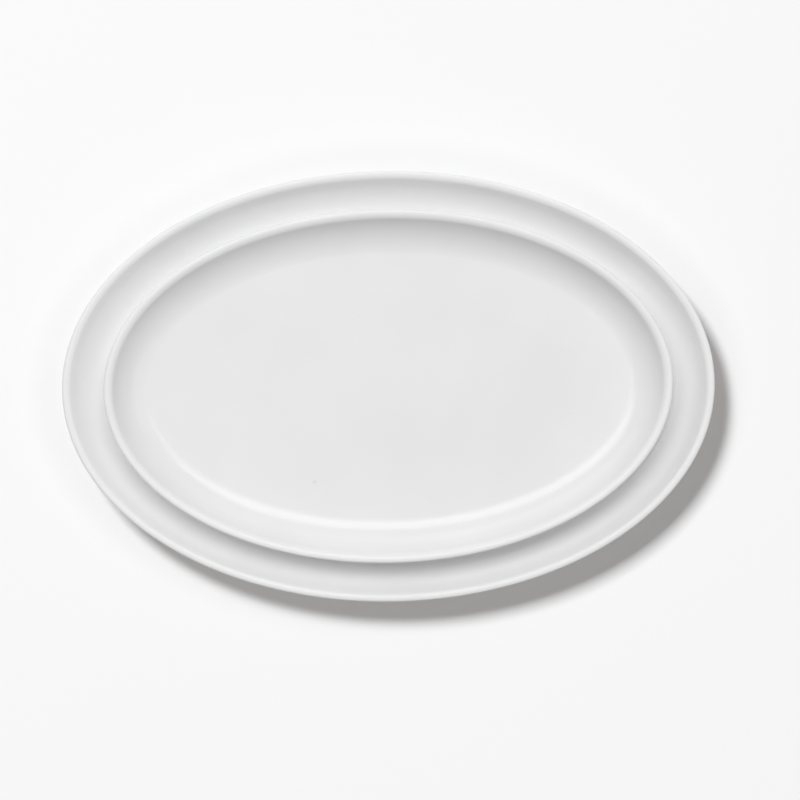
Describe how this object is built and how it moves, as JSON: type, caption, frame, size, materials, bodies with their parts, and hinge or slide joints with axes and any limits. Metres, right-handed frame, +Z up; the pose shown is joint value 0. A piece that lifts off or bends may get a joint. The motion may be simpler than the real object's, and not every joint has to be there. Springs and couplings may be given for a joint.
{
  "type": "oval plate",
  "caption": "Nesting oval coupe plates of white glazed porcelain, the smaller standing in the larger, each with a coved wall, a soft-rolled lip and a foot ring, for serving food.",
  "frame": {"origin": "on the table, under the middle of the large plate, in the plane of its foot ring", "axes": "+X along the plates' length, +Y across them, +Z up, the way the small plate lifts out"},
  "size_m": [0.4, 0.264, 0.0287],
  "materials": {
    "large_plate_glaze": "clear gloss glaze on white porcelain",
    "small_plate_glaze": "clear gloss glaze on white porcelain"
  },
  "bodies": {
    "lower_plate": {"large_plate": "large_plate_glaze"},
    "upper_plate": {"small_plate": "small_plate_glaze"}
  },
  "joints": [
    {"name": "small_plate_lift", "type": "slide", "parent": "lower_plate", "child": "upper_plate", "axis": [0, 0, 1], "range_m": [0, 0.1]}
  ]
}
